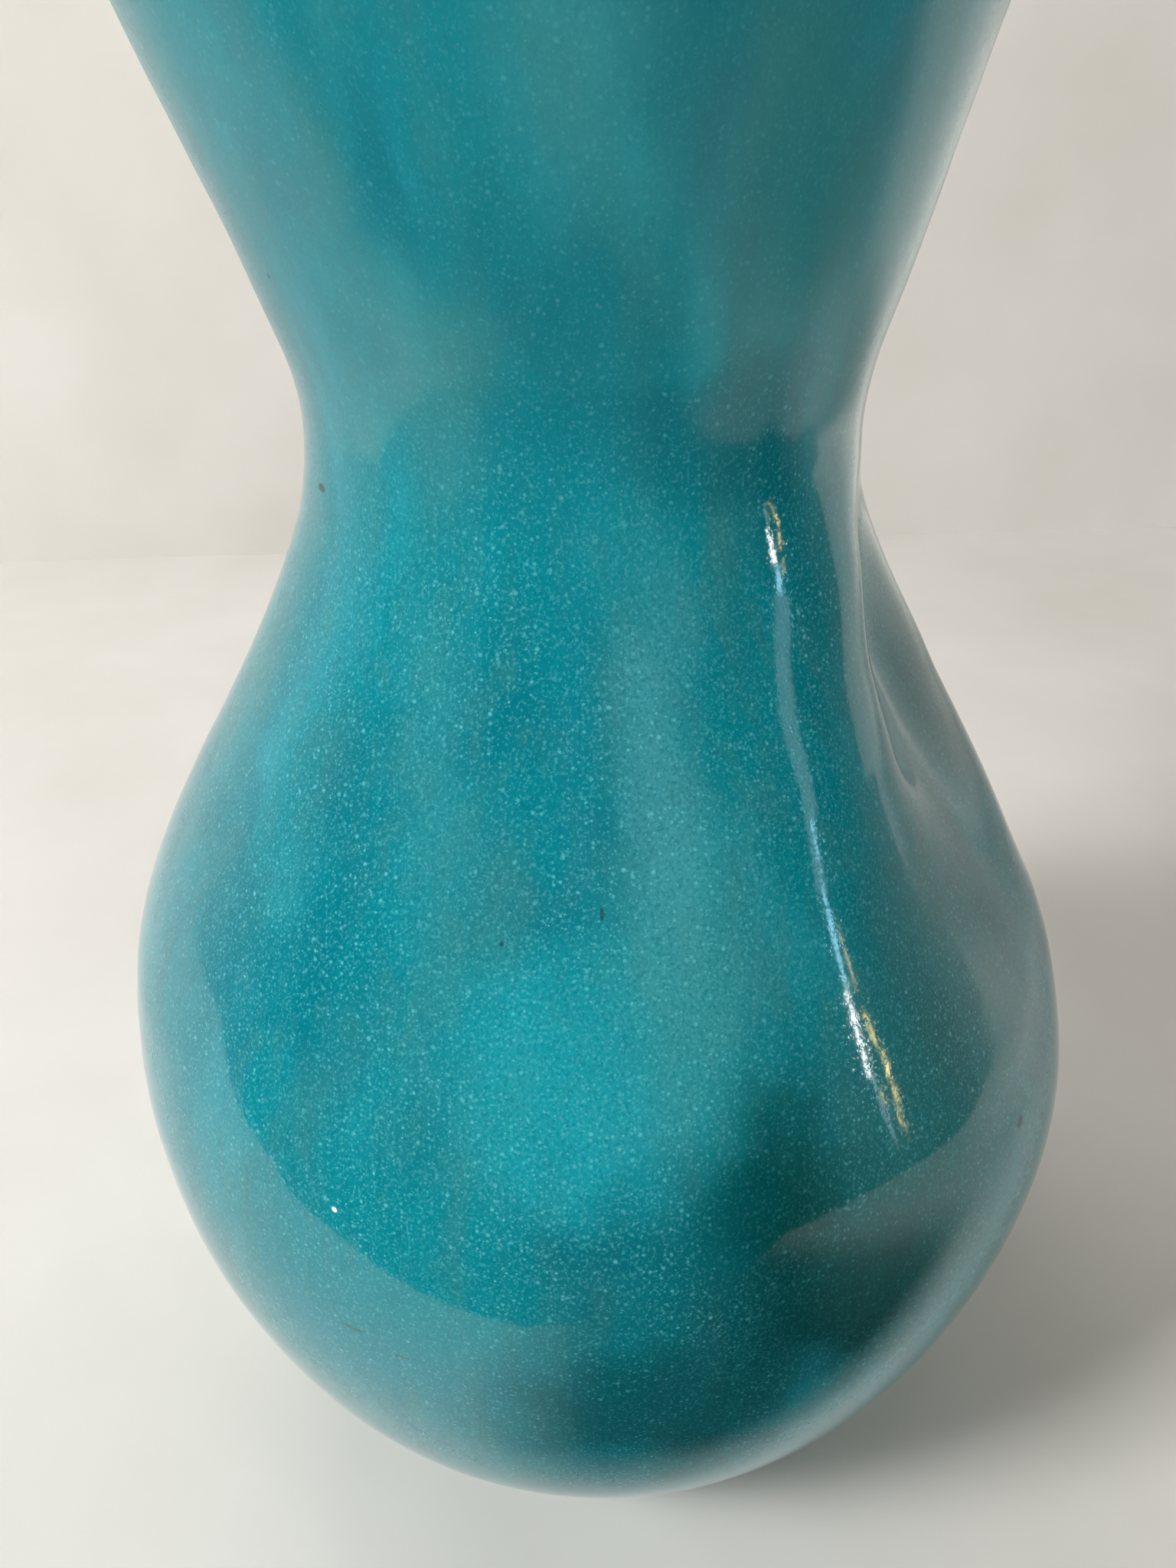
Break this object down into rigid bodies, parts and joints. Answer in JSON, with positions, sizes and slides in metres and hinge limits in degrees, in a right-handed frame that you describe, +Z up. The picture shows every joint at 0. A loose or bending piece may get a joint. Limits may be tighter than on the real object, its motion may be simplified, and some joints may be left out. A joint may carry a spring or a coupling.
{
  "type": "vase",
  "caption": "Turquoise glazed faience vase with a round belly, dents pressed into its shoulder, a narrow waist and a flared wide mouth on a bare foot ring.",
  "frame": {"origin": "on the table under the middle of the foot ring", "axes": "+Z up along the vase's axis, front towards -Y, right towards +X"},
  "size_m": [0.1698, 0.17, 0.3],
  "materials": {
    "clay": "bare fired buff earthenware, matt and slightly gritty",
    "slip": "fired slip, matt",
    "turquoise_glaze": "glossy turquoise glaze with fine pale specks and soft upright streaks",
    "lining_glaze": "glossy turquoise glaze, thinner and a little paler than outside"
  },
  "bodies": {
    "root": {"lower_body": "clay", "upper_body": "clay", "waist_slip": "slip", "foot_ring": "clay", "foot_slip": "slip", "outer_glaze": "turquoise_glaze", "inner_glaze": "lining_glaze", "underside_glaze": "lining_glaze"}
  },
  "joints": []
}
